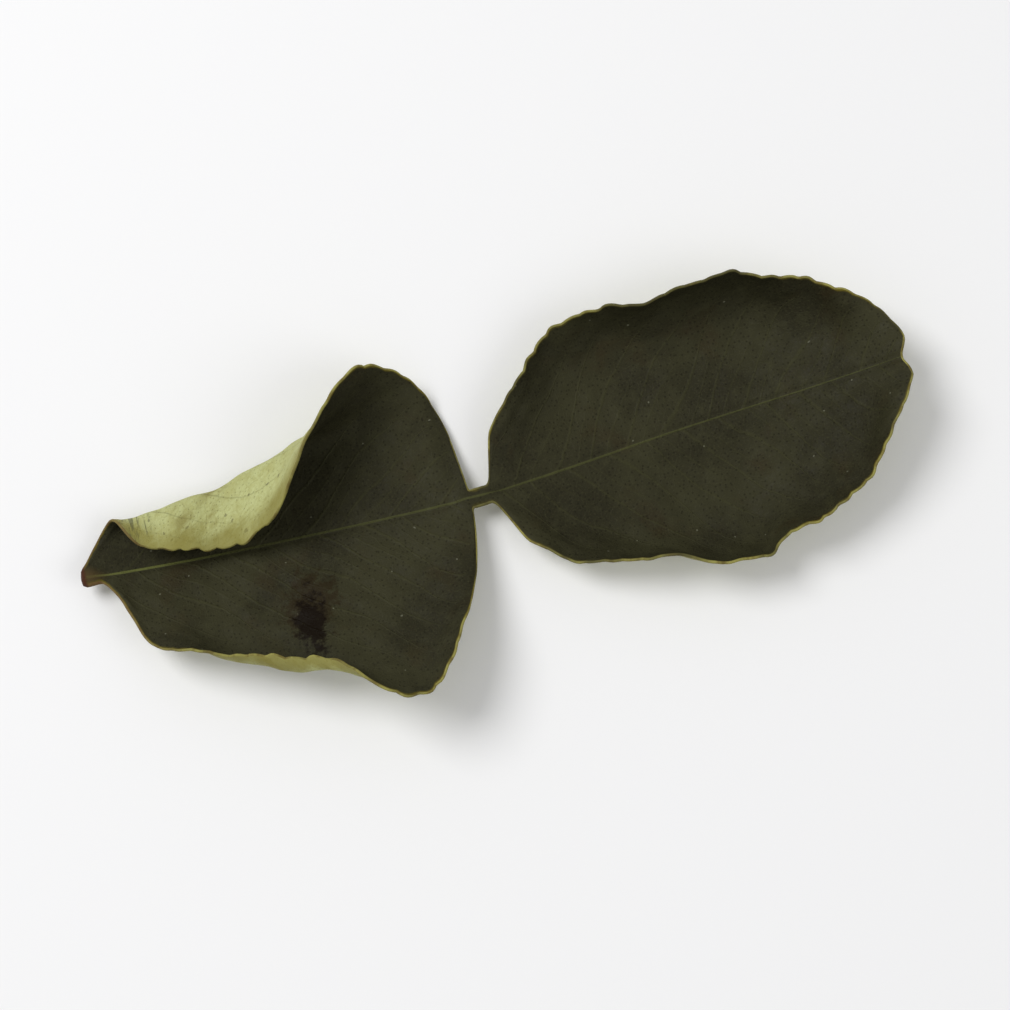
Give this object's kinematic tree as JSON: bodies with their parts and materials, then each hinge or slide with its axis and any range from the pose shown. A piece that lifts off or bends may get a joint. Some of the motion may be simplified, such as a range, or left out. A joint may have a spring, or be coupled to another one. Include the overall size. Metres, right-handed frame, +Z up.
{
  "type": "dried makrut lime leaf",
  "caption": "Dried makrut lime leaf with a winged petiole and a blade, its margins rolled up, laid flat as a cooking herb.",
  "frame": {"origin": "on the surface that the leaf lies on, below the middle of its bounding box", "axes": "+X from the stalk end to the tip, +Z up through the upper face, +Y to the left of the midrib"},
  "size_m": [0.0916, 0.0362, 0.0111],
  "materials": {
    "leaf": "dry leathery leaf, dark olive above, pale yellow-green below"
  },
  "bodies": {
    "root": {"leaf": "leaf"}
  },
  "joints": []
}
